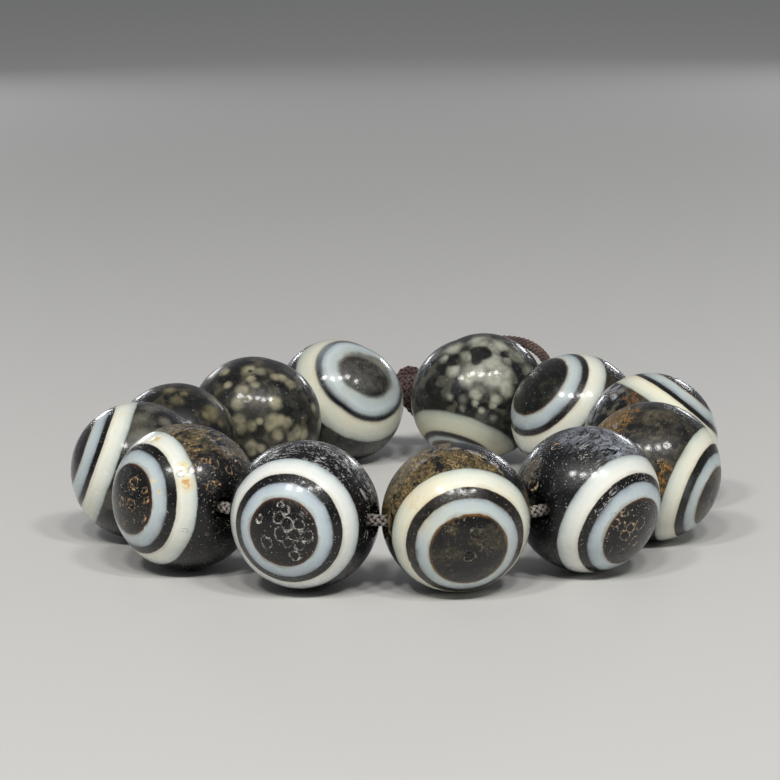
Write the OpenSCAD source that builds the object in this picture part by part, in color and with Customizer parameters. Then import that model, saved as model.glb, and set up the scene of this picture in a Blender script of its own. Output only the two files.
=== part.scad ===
// Dzi bead bracelet: twelve round eye agates, drilled and strung on a braided cord that is
// knotted into a closed loop. It lies flat on a table, as a loose ring a little longer than wide.
// Millimetres, Z up. The origin is on the table, under the middle of the bracelet, with +X to
// the right and +Y away from the viewer. The beads run anticlockwise from the left one.

/* [Beads] */
// Nominal diameter of a stone bead
bead_d = 16; // [14:0.5:20]
// Diameter of the hole drilled through each bead
hole_d = 2.2; // [2:0.1:2.4]
// Diameter of the dished mouth at each end of a hole
mouth_d = 3.8; // [3:0.1:4]

/* [Cord] */
// Diameter of the braided cord
cord_d = 1.4; // [1:0.1:1.5]
// Length over which the cord bends, measured back from each mouth of a hole
bend_len = 2.2; // [1.6:0.1:2.6]

/* [Knot] */
// Outer diameter of the two turns of cord that make the knot
knot_d = 5; // [4.6:0.1:5.2]
// How far the knot's middle lies outside the line between the two beads it joins
knot_out = 6.2; // [5.8:0.1:6.4]
// Clearance between the cord's tail and the longest reach of the bead that it lies round
tail_gap = 0.4; // [0.3:0.1:0.8]
// Angle that the tail covers round that bead, from the knot to its cut end
tail_sweep = 141; // [120:1:146]
// Slope of the tail's circle above the table
tail_slope = 40; // [36:1:44]

/* [Hidden] */

// Columns of the table of beads. Lengths are in parts of bead_d, angles in degrees.
// DIA is the diameter, STRETCH how much longer the bead is along its long axis, LEAN how far
// that axis rises towards +X, BEARING and REACH the centre's place seen from the origin, and
// SWING how far the hole is turned from the tangent of the ring.
DIA = 0;
STRETCH = 1;
LEAN = 2;
BEARING = 3;
REACH = 4;
SWING = 5;
BEADS = [
    [0.995, 0,    0,   -165.5, 1.952, 1],
    [1.016, 0,    0,   -136.3, 2.060, 0],
    [1.007, 0,    0,   -107.9, 2.112, 0],
    [0.999, 0,    0,   -80.4,  2.152, 0],
    [1.004, 0,    0,   -52.8,  2.088, 0],
    [0.998, 0,    0,   -23.8,  1.953, -3],
    [1.010, 0,    0,   8.8,    1.906, 4],
    [1.000, 0.02, 0,   41.7,   1.854, 0],
    [1.013, 0.10, 21,  71.9,   2.098, -12],
    [0.965, 0.08, -27, 102.8,  2.142, 16],
    [0.994, 0.04, -17, 131.0,  1.720, 5],
    [0.953, 0,    0,   164.2,  1.763, -9],
];
bead_count = len(BEADS);
// The knot joins the hole of this bead to the hole of the next one
KNOT_AFTER = 8;

// How finely round surfaces are drawn
bead_fn = 96;
hole_fn = 48;
// Sides of the cord's tube, and rings along each bend
cord_sides = 8;
bend_rings = 5;
// The cord ends this deep inside the mouth of a hole, and the knot's own cord begins this much
// further out, which leaves a hairline gap between their slanting ends
joint_depth = 0.4;
joint_step = 0.55;
// Thickness of the cord in the knot, and the spacing of its two turns
turn_d = 1.5;
turn_pitch = 1.3;
// Lump of cord that fills the two turns, and the crossing that stands over them
core_d = 3.4;
crossing_d = 2.6;
crossing_rise = 1.9;

stone_colour = "#26262a";
cord_colour = "#8a6f66";

function unit(v) = v / norm(v);
function flat(v) = [v[0], v[1], 0];
function bead_after(i) = (i + 1) % bead_count;
function bead_before(i) = (i + bead_count - 1) % bead_count;

// Sizes and place of bead i
function radius(i) = bead_d * BEADS[i][DIA] / 2;
function half_stretch(i) = bead_d * BEADS[i][STRETCH] / 2;
function long_axis(i) = [cos(BEADS[i][LEAN]), 0, sin(BEADS[i][LEAN])];
function lift(i) = radius(i) + half_stretch(i) * abs(long_axis(i)[2]);
function centre(i) =
    let (r = bead_d * BEADS[i][REACH], a = BEADS[i][BEARING])
    [r * cos(a), r * sin(a), lift(i)];

// The hole of bead i is level, and halves the angle between its neighbours but for its swing
function bore_bearing(i) =
    let (ahead = unit(flat(centre(bead_after(i)) - centre(i))),
        behind = unit(flat(centre(i) - centre(bead_before(i)))),
        middle = ahead + behind)
    atan2(middle[1], middle[0]) + BEADS[i][SWING];
function bore_dir(i) = [cos(bore_bearing(i)), sin(bore_bearing(i)), 0];

// Distance from the centre of bead i to its surface along its hole
function bore_reach(i) =
    let (along = abs(bore_dir(i) * long_axis(i)), e = half_stretch(i), r = radius(i))
    e * along + sqrt(r * r - e * e * (1 - along * along));
// Point on the hole's axis of bead i, out by a distance from its centre
function on_bore(i, out) = centre(i) + out * bore_dir(i);

// Moves its children so that their X and Y axes point along x_dir and y_dir, from a new origin
module set_frame(at, x_dir, y_dir) {
    z_dir = cross(x_dir, y_dir);
    multmatrix([
        [x_dir[0], y_dir[0], z_dir[0], at[0]],
        [x_dir[1], y_dir[1], z_dir[1], at[1]],
        [x_dir[2], y_dir[2], z_dir[2], at[2]],
        [0, 0, 0, 1]])
        children();
}

// One mouth of a hole: a cone that meets the bead's surface at mouth_d, opening along +Z
module mouth(reach, r) {
    depth = (mouth_d - hole_d) / 2;
    rim = reach - r + sqrt(r * r - mouth_d * mouth_d / 4);
    over = 1;
    translate([0, 0, rim - depth])
        cylinder(h = depth + over, r1 = hole_d / 2, r2 = mouth_d / 2 + over, $fn = hole_fn);
}

// The stone of bead i: one ball, or two that overlap along the long axis of a longer bead
module stone(i) {
    e = half_stretch(i);
    if (e > 0) {
        for (side = [-1, 1])
            translate(side * e * long_axis(i)) sphere(r = radius(i), $fn = bead_fn);
    } else {
        rotate([0, 90, bore_bearing(i)]) sphere(r = radius(i), $fn = bead_fn);
    }
}

module bead(i) {
    color(stone_colour)
        translate(centre(i))
        difference() {
            stone(i);
            rotate([0, 90, bore_bearing(i)]) {
                cylinder(h = 3 * bead_d, d = hole_d, center = true, $fn = hole_fn);
                mouth(bore_reach(i), radius(i));
                mirror([0, 0, 1]) mouth(bore_reach(i), radius(i));
            }
        }
}

// Point and direction at u, from 0 to 1, on the cord's bend from bead i to the next one.
// The bend is a cubic curve that leaves one hole and enters the other along their axes.
function bend_start(i) = on_bore(i, bore_reach(i) - bend_len);
function bend_end(i) = on_bore(bead_after(i), bend_len - bore_reach(bead_after(i)));
function bend_handle(i) = 0.38 * norm(bend_end(i) - bend_start(i));
function bend_point(i, u) =
    let (a = bend_start(i), b = a + bend_handle(i) * bore_dir(i),
        d = bend_end(i), c = d - bend_handle(i) * bore_dir(bead_after(i)), v = 1 - u)
    v * v * v * a + 3 * v * v * u * b + 3 * v * u * u * c + u * u * u * d;
function bend_dir(i, u) =
    let (a = bend_start(i), b = a + bend_handle(i) * bore_dir(i),
        d = bend_end(i), c = d - bend_handle(i) * bore_dir(bead_after(i)), v = 1 - u)
    unit(v * v * (b - a) + 2 * v * u * (c - b) + u * u * (d - c));

// The cord's stations, as pairs of point and direction, all the way from the knot to the knot
first_bead = bead_after(KNOT_AFTER);
cord_start = [on_bore(first_bead, joint_depth - bore_reach(first_bead)), bore_dir(first_bead)];
cord_end = [on_bore(KNOT_AFTER, bore_reach(KNOT_AFTER) - joint_depth), bore_dir(KNOT_AFTER)];
STATIONS = concat(
    [cord_start],
    [for (k = [0 : bead_count - 2], j = [0 : bend_rings - 1])
        let (i = (first_bead + k) % bead_count, u = j / (bend_rings - 1))
        [bend_point(i, u), bend_dir(i, u)]],
    [cord_end]);

// A ring of points round a station, in the plane across its direction
function ring(station) =
    let (side = unit(cross([0, 0, 1], station[1])), up = cross(station[1], side))
    [for (k = [0 : cord_sides - 1])
        let (a = 360 * (k + 0.5) / cord_sides)
        station[0] + cord_d / 2 * (cos(a) * side + sin(a) * up)];

module cord() {
    n = len(STATIONS);
    last = (n - 1) * cord_sides;
    corners = [for (s = STATIONS) each ring(s)];
    walls = [for (j = [0 : n - 2], k = [0 : cord_sides - 1])
        let (a = j * cord_sides + k, b = j * cord_sides + (k + 1) % cord_sides,
            c = a + cord_sides, d = b + cord_sides)
        each [[a, c, b], [b, c, d]]];
    ends = [[for (k = [0 : cord_sides - 1]) k],
        [for (k = [cord_sides - 1 : -1 : 0]) last + k]];
    color(cord_colour) polyhedron(points = corners, faces = concat(walls, ends));
}

// The knot stands in the open side of the gap between its two beads. Its X axis runs from one
// bead to the other, and its Z axis is up.
knot_a = centre(KNOT_AFTER);
knot_b = centre(first_bead);
knot_x = unit(flat(knot_b - knot_a));
knot_y = cross(knot_x, [0, 0, 1]);
// Middle of the open gap between the two stones, on the line between their centres
knot_mid = (radius(KNOT_AFTER) + half_stretch(KNOT_AFTER)
    + norm(flat(knot_b - knot_a)) - radius(first_bead) - half_stretch(first_bead)) / 2;
knot_at = [knot_a[0], knot_a[1], (knot_a[2] + knot_b[2]) / 2] + knot_mid * knot_x + knot_out * knot_y;

// A straight piece of round cord from one point to another
module cord_piece(from, to) {
    along = unit(to - from);
    side = unit(cross([0, 0, 1], along));
    set_frame(from, side, cross(along, side))
        cylinder(h = norm(to - from), d = cord_d, $fn = hole_fn);
}

// One turn of the knot, a ring of cord round the knot's X axis
module turn(offset) {
    translate(offset * knot_x)
        set_frame(knot_at, knot_y, [0, 0, 1])
        rotate_extrude($fn = bead_fn)
        translate([(knot_d - turn_d) / 2, 0]) circle(d = turn_d, $fn = hole_fn);
}

// The tail leaves the knot and lies round the back of the bead before it, on a sloping circle
tail_r = radius(KNOT_AFTER) + half_stretch(KNOT_AFTER) + tail_gap + cord_d / 2;
tail_x = unit(flat(knot_at - knot_a));
tail_y = cos(tail_slope) * cross(tail_x, [0, 0, 1]) + sin(tail_slope) * [0, 0, 1];

module tail() {
    set_frame(knot_a, tail_x, tail_y)
        rotate_extrude(angle = tail_sweep, $fn = bead_fn)
        translate([tail_r, 0]) circle(d = cord_d, $fn = hole_fn);
}

module closing_knot() {
    color(cord_colour)
        union() {
            translate(knot_at) sphere(d = core_d, $fn = bead_fn);
            translate(knot_at + [0, 0, crossing_rise]) sphere(d = crossing_d, $fn = bead_fn);
            turn(-turn_pitch / 2);
            turn(turn_pitch / 2);
            cord_piece(cord_end[0] + joint_step * cord_end[1], knot_at);
            cord_piece(cord_start[0] - joint_step * cord_start[1], knot_at);
            tail();
        }
}

for (i = [0 : bead_count - 1])
    bead(i);
cord();
closing_knot();
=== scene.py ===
"""Looks of a dzi bead bracelet: twelve worn eye agates on a braided cord that is knotted closed.

Lengths are in metres, and MM turns millimetres into them. The origin lies on the table under the
middle of the bracelet, with +X to the right, +Y away from the viewer and +Z up.
"""

import logging
import math
from dataclasses import dataclass, field
from enum import Enum

import bpy
import numpy as np
from mathutils import Matrix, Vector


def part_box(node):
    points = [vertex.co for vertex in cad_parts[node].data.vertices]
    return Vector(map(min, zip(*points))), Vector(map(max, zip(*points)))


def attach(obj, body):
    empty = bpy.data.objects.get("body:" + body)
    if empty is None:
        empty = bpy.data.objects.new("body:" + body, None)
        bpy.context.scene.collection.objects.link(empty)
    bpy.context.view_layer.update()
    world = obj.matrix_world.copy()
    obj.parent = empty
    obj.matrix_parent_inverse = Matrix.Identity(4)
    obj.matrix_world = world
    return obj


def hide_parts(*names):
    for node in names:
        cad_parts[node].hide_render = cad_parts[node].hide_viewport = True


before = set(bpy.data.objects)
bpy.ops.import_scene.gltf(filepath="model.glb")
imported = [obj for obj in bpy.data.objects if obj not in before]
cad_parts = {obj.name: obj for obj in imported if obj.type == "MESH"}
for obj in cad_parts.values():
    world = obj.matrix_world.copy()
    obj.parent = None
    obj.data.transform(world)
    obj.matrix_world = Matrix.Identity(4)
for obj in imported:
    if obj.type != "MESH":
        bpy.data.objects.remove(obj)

LOG = logging.getLogger("bracelet")
Vec = tuple[float, float, float]
Pair = tuple[float, float]
Socket = bpy.types.NodeSocket
Source = Socket | float | tuple[float, ...]
MM = 0.001
TURN = 2 * math.pi
NOMINAL_BEAD = 16 * MM
UP = np.array([0.0, 0.0, 1.0])
LEVEL = np.array([1.0, 1.0, 0.0])

# Colours of the pale bands from their outer edge to their inner one, and where each lies.
BAND_PLACES = (0.0, 0.14, 0.40, 0.80, 1.0)
CREAM_TONES = ((146, 156, 162), (194, 204, 206), (226, 231, 230), (238, 240, 236), (214, 212, 202))
BLUE_TONES = ((112, 121, 130), (156, 168, 177), (184, 197, 206), (196, 208, 212), (168, 170, 164))
# Colours that all the stones share.
WASHED_RING = (150, 160, 166)
YELLOW_WASH = (230, 214, 162)
FRECKLE = (198, 172, 128)
RUST = (208, 150, 70)
# Pale specks and scratches of the dark stones: partly dust and scratches, partly painted glints and painted
# rim highlights.
DULL_DUST_AND_GLINT = (86, 84, 78)
SCRATCH_AND_RIM_GLINT = (214, 214, 212)
# Depth in metres of the pin pricks, the crust and the bubble marks, in the stone and in its polish.
STONE_RELIEF = (0.050 * MM, 0.30 * MM, 0.07 * MM)
POLISH_RELIEF = (0.009 * MM, 0.14 * MM, 0.06 * MM)


def unit(vectors: np.ndarray) -> np.ndarray:
    """Scales each vector, along the last axis, to length one."""
    return vectors / np.linalg.norm(vectors, axis=-1, keepdims=True)


def angle_from(ways: np.ndarray, toward: Vec | np.ndarray) -> np.ndarray:
    """Angle from one direction of each unit vector, by the arc cosine of their scalar product."""
    return np.arccos(np.clip(ways @ unit(np.array(toward)), -1, 1))


def line_lengths(points: np.ndarray) -> np.ndarray:
    """Length along a line of points from its first to each of them: a running sum of its steps."""
    return np.concatenate([[0], np.cumsum(np.linalg.norm(np.diff(points, axis=0), axis=1))])


def linear(tone: Vec, share: float | np.ndarray = 1.0) -> tuple[float, ...]:
    """Turns a screen colour, 0 to 255 a channel, into the linear colour that shaders take.

    Args:
        tone: Red, green and blue as seen on screen.
        share: What they are multiplied by first.

    Returns:
        Linear red, green and blue from 0 to 1, and full alpha. Each channel follows the usual
        screen curve: a short straight part near black, then a power of 2.4.
    """
    shown = np.array(tone) * share / 255
    curve = np.where(shown <= 0.04045, shown / 12.92, ((shown + 0.055) / 1.055) ** 2.4)
    return (*curve.tolist(), 1.0)


def cell_value(cell: np.ndarray, seed: int) -> np.ndarray:
    """Gives each whole-numbered cell of space its own value.

    Args:
        cell: Whole numbers, x, y and z along the last axis.
        seed: Picks one of many such fields.

    Returns:
        Values from 0 to 1, worked out by multiplying, adding and folding the bits of the numbers.
    """
    mask = 0xFFFFFFFF
    mixed = (cell[..., 0] * 73856093) ^ (cell[..., 1] * 19349663) ^ (cell[..., 2] * 83492791)
    mixed = (mixed + seed * 2654435) & mask
    mixed = ((mixed ^ (mixed >> 15)) * 2246822) & mask
    mixed = ((mixed ^ (mixed >> 13)) * 3266489) & mask
    return ((mixed ^ (mixed >> 16)) & 0xFFFF) / 65535.0


def soft_noise(points: np.ndarray, seed: int) -> np.ndarray:
    """Smooth noise: the values of the eight cell corners round a point, blended by its place.

    Args:
        points: Places, x, y and z along the last axis, in cells.
        seed: Picks one of many such fields.

    Returns:
        Values from -1 to 1.
    """
    cell = np.floor(points).astype(np.int64)
    part = points - cell
    part = part * part * (3 - 2 * part)
    total = np.zeros(points.shape[:-1])
    for corner in np.ndindex(2, 2, 2):
        weight = np.prod(np.where(np.array(corner) == 1, part, 1 - part), axis=-1)
        total += weight * cell_value(cell + np.array(corner), seed)
    return 2 * total - 1


def cloud(points: np.ndarray, seed: int, octaves: int = 3) -> np.ndarray:
    """Adds up octaves of soft noise, each twice as fine and half as strong: about -1 to 1."""
    layers = [soft_noise(points * 2 ** k, seed + 17 * k) / 2 ** k for k in range(octaves)]
    return sum(layers) / (2 - 0.5 ** (octaves - 1))


def new_mesh(name: str, points: np.ndarray, quads: np.ndarray,
             ends: tuple[np.ndarray, ...] = ()) -> bpy.types.Object:
    """Makes a smooth-shaded object at the origin from whole arrays.

    Args:
        name: The object's name.
        points: Corner places, one row each.
        quads: Four corner numbers a row.
        ends: Further faces, each an array of corner numbers, for closed ends.

    Returns:
        The linked object.
    """
    loops = np.concatenate([quads.ravel(), *ends]).astype(np.int32)
    sizes = np.array([4] * len(quads) + [len(end) for end in ends])
    starts = np.concatenate([[0], np.cumsum(sizes)[:-1]]).astype(np.int32)
    mesh = bpy.data.meshes.new(name)
    mesh.vertices.add(len(points))
    mesh.vertices.foreach_set("co", points.astype(np.float32).ravel())
    mesh.loops.add(len(loops))
    mesh.loops.foreach_set("vertex_index", loops)
    mesh.polygons.add(len(sizes))
    mesh.polygons.foreach_set("loop_start", starts)
    mesh.update(calc_edges=True)
    mesh.polygons.foreach_set("use_smooth", np.ones(len(sizes), dtype=bool))
    mesh.validate()
    piece = bpy.data.objects.new(name, mesh)
    bpy.context.scene.collection.objects.link(piece)
    return piece


def grid_quads(rows: int, columns: int, closed_rows: bool) -> np.ndarray:
    """Numbers the quads of a grid whose columns close on themselves.

    Args:
        rows: Rings of points.
        columns: Points in each ring.
        closed_rows: True where the last ring joins the first.

    Returns:
        Four corner numbers a row, so that faces point outwards where the rings advance along an
        axis and each ring turns by the right hand about it.
    """
    last = rows if closed_rows else rows - 1
    row, column = np.meshgrid(np.arange(last), np.arange(columns), indexing="ij")
    here, there, beside = row * columns, (row + 1) % rows * columns, (column + 1) % columns
    corners = [here + column, here + beside, there + beside, there + column]
    return np.stack(corners, axis=-1).reshape(-1, 4)


class Graph:
    """Builds one material's nodes, with a method for each step that the finishes use."""

    def __init__(self, name: str) -> None:
        """Starts an empty material with its shader and output.

        Args:
            name: The material's name.
        """
        self.material = bpy.data.materials.new(name)
        self.material.use_nodes = True
        self.tree = self.material.node_tree
        self.tree.nodes.clear()
        self.shader = self.add("ShaderNodeBsdfPrincipled")
        self.add("ShaderNodeOutputMaterial", {"Surface": self.shader.outputs["BSDF"]})

    def add(self, kind: str, inputs: dict[str | int, Source] | None = None,
            **settings: str | bool) -> bpy.types.Node:
        """Adds a node.

        Args:
            kind: Its type.
            inputs: What its sockets take, by their names or numbers.
            **settings: Its own settings by name.

        Returns:
            The node.
        """
        node = self.tree.nodes.new(kind)
        for key, value in settings.items():
            setattr(node, key, value)
        self.feed(node, inputs or {})
        return node

    def feed(self, node: bpy.types.Node, inputs: dict[str | int, Source]) -> None:
        """Links a node's sockets to others, or sets them where the source is a plain value.

        Args:
            node: The node.
            inputs: What its sockets take, by their names or numbers.
        """
        for key, source in inputs.items():
            if isinstance(source, Socket):
                self.tree.links.new(source, node.inputs[key])
            else:
                node.inputs[key].default_value = source

    def math(self, operation: str, first: Source, second: Source = 0.0, clamp: bool = False) -> Socket:
        """One step of arithmetic that the Math node names, kept from 0 to 1 if clamp says so."""
        numbers = {0: first, 1: second}
        return self.add("ShaderNodeMath", numbers, operation=operation, use_clamp=clamp).outputs[0]

    def product(self, *factors: Source) -> Socket:
        """Multiplies numbers or sockets together.

        Args:
            *factors: Two or more of them.

        Returns:
            The product's socket.
        """
        total = factors[0]
        for factor in factors[1:]:
            total = self.math("MULTIPLY", total, factor)
        return total

    def away(self, value: Source, level: float) -> Socket:
        """Distance of a value from a level, without its sign."""
        return self.math("ABSOLUTE", self.math("SUBTRACT", value, level))

    def step(self, value: Source, low: float, high: float, bottom: float = 0.0, top: float = 1.0,
             curve: str = "SMOOTHSTEP") -> Socket:
        """Goes from bottom to top as value goes from low to high, along a Map Range curve."""
        ends = dict(enumerate((value, low, high, bottom, top)))
        return self.add("ShaderNodeMapRange", ends, interpolation_type=curve).outputs[0]

    def mix(self, factor: Source, first: Source, second: Source) -> Socket:
        """Blends two colours by a factor from 0, the first, to 1, the second."""
        return self.add("ShaderNodeMix", {0: factor, 6: first, 7: second}, data_type="RGBA").outputs[2]

    def shaded(self, factor: Source, tone: Vec, low: float, high: float = 1.0) -> Socket:
        """Blends a screen colour times low into the same colour times high by a factor."""
        return self.mix(factor, linear(tone, low), linear(tone, high))

    def noise(self, place: Socket, scale: float, detail: float, seed: float,
              rough: float = 0.55) -> Socket:
        """Cloudy noise, 0 to 1: clouds a unit of place, octaves, slice and octaves' strength."""
        inputs = {"Vector": place, "W": seed, "Scale": scale, "Detail": detail, "Roughness": rough}
        return self.add("ShaderNodeTexNoise", inputs, noise_dimensions="4D").outputs["Fac"]

    def bent(self, place: Socket, scale: float, amount: float, slices: dict[str, float]) -> Socket:
        """Bends coordinates by a noise that has a value for each axis.

        Args:
            place: Socket of the coordinates.
            scale: Clouds of the noise for each unit of the coordinates.
            amount: Length of the longest shift along an axis; the mean one is half of it.
            slices: The noise's slice as W, or nothing for a noise without slices.

        Returns:
            The new coordinates' socket.
        """
        inputs = {"Vector": place, "Scale": scale, "Detail": 3.0, **slices}
        noise = self.add("ShaderNodeTexNoise", inputs, noise_dimensions="4D" if slices else "3D")
        inputs = {0: noise.outputs["Color"], 1: (amount,) * 3, 2: place}
        return self.add("ShaderNodeVectorMath", inputs, operation="MULTIPLY_ADD").outputs[0]

    def placed(self, place: Socket, scale: Vec, shift: Vec = (0.0, 0.0, 0.0),
               turn: Vec = (0.0, 0.0, 0.0), kind: str = "POINT") -> Socket:
        """Scales, turns and shifts coordinates; the Mapping kind TEXTURE undoes that."""
        inputs = {"Vector": place, "Location": shift, "Rotation": turn, "Scale": scale}
        return self.add("ShaderNodeMapping", inputs, vector_type=kind).outputs["Vector"]

    def split(self, vector: Socket) -> bpy.types.bpy_prop_collection:
        """Splits a colour or vector into its three numbers."""
        return self.add("ShaderNodeSeparateXYZ", {0: vector}).outputs

    def relief(self, height: Socket, depth: float, under: dict[str, Socket]) -> Socket:
        """Bends the normal under it by a height from 0 to 1 that stands for a depth."""
        return self.add("ShaderNodeBump", {"Distance": depth, "Height": height, **under}).outputs[0]


class Wear(Enum):
    """What a patch does to a bead's surface; the value is its channel in the wear attribute.

    EARTH lays crust, PALE whitens clouds, plates and lumps, STAIN yellows the pale bands, and
    DUST_AND_GLINTS adds fine pale specks and scratches, partly real dust and scratches and partly
    painted glints and painted rim highlights.
    """

    EARTH = 0
    PALE = 1
    STAIN = 2
    # Partly real dust and scratches, partly painted glints and rim highlights on the lit tops.
    DUST_AND_GLINTS = 3


@dataclass(frozen=True)
class Patch:
    """A worn, clouded or stained place on a bead.

    Attributes:
        wear: What it does.
        toward: Direction of its middle from the bead's middle.
        reach: Angle from its middle to where it fades out, in degrees.
        amount: Strength from 0 to 1, or below 0 where it clears earlier patches of its kind.
    """

    wear: Wear
    toward: Vec
    reach: float
    amount: float = 1.0


@dataclass(frozen=True)
class Mark:
    """A round, broken line left in the surface by a burst bubble.

    Attributes:
        toward: Direction of its middle from the bead's middle.
        across: Angle from its middle to its line, in degrees.
    """

    toward: Vec
    across: float


@dataclass(frozen=True)
class Blobs:
    """Rounded clouds scattered through the dark stone.

    Attributes:
        tone: Their colour.
        scale: Clouds for each bead radius.
        fill: Share of the places that hold one, from 0 to 1.
        soft: Width of their edges as a share of their size.
        where: Kind of wear that they keep to, or nothing where they lie all over.
        squash: How much thinner than round they are along the eye's axis.
        hollow: How dark the middles of the largest are.
        cracked: Whether they are plates parted by thin dark cracks.
        ragged: How torn their edges are, from 0 to 1.
    """

    tone: Vec
    scale: float
    fill: float
    soft: float = 0.3
    where: Wear | None = None
    squash: float = 1.0
    hollow: float = 0.0
    cracked: bool = False
    ragged: float = 0.0


@dataclass(frozen=True)
class Oval:
    """A pupil that isn't round.

    Attributes:
        long: Half its length, in bead radii.
        short: Half its width.
        turn: Turn of its length from the eye's right, in degrees.
        right: How far its middle lies to the right of the eye's axis.
        up: How far it lies above it.
    """

    long: float
    short: float
    turn: float
    right: float
    up: float


@dataclass(frozen=True)
class Bands:
    """Where flat cuts across the eye's axis part its bands, in bead radii from the middle.

    Attributes:
        cream_outer: Body to cream band.
        cream_inner: Cream band to dark band.
        blue_outer: Dark band to bluish band.
        blue_inner: Bluish band to pupil.
        blur: Half the width over which one band turns to the next.
    """

    cream_outer: float
    cream_inner: float
    blue_outer: float
    blue_inner: float
    blur: float = 0.006


@dataclass(frozen=True)
class Agate:
    """The polished, worn stone of one bead.

    Attributes:
        bands: Cuts of its eye.
        seed: Makes its clouds, pits and grain its own.
        body: Colour of the dark stone.
        between: Colour of the dark band between the two pale ones.
        haze: Colour of the cloudy veil in the dark stone.
        haze_amount: How much of the body it takes.
        lump: Colour of the pale wear, where that is solid lumps in the stone.
        blobs: Layers of rounded clouds.
        earth: Colour of the earthy crust in worn places.
        ochre: Its brighter tone.
        dash: How drawn out its grain is along the eye's axis.
        warmth: How yellow the pale bands are, from 0 to 1.
        milk: How much darker than white the pale bands are.
        fade: How much darker the bluish band is where it meets the pupil.
        glow: How bright the bluish band is elsewhere.
        pupil: Colour of the pupil.
        pupil_veil: Colour of the clouds in the pupil.
        veil_amount: How much of the pupil they cover.
        veil_grain: Fineness of their grain.
        oval: Shape of a pupil that isn't round.
        rim: Colour of the thin burnt line round the pupil.
        marks: Bubble marks.
        mark_and_glint_tone: Their colour, partly the marks' own and partly painted glints on their walls.
        dust_and_glints: How dense pale specks in the dark stone's pits are, partly dust, partly painted
            glints.
        dust_and_glint_tone: Their colour.
        rough: Roughness of the stone under its polish.
    """

    bands: Bands
    seed: float
    body: Vec = (7, 7, 8)
    between: Vec = (9, 9, 9)
    haze: Vec = (110, 108, 98)
    haze_amount: float = 0.0
    lump: Vec | None = None
    blobs: tuple[Blobs, ...] = ()
    earth: Vec = (112, 94, 66)
    ochre: Vec = (150, 118, 72)
    dash: float = 1.0
    warmth: float = 0.2
    milk: float = 0.0
    fade: float = 0.0
    glow: float = 1.0
    pupil: Vec = (8, 7, 7)
    pupil_veil: Vec = (84, 76, 60)
    veil_amount: float = 0.0
    veil_grain: float = 22.0
    oval: Oval | None = None
    rim: Vec = (66, 34, 12)
    marks: tuple[Mark, ...] = ()
    mark_and_glint_tone: Vec = (158, 150, 134)
    dust_and_glints: float = 0.5
    dust_and_glint_tone: Vec = (196, 195, 190)
    rough: float = 0.27


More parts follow.
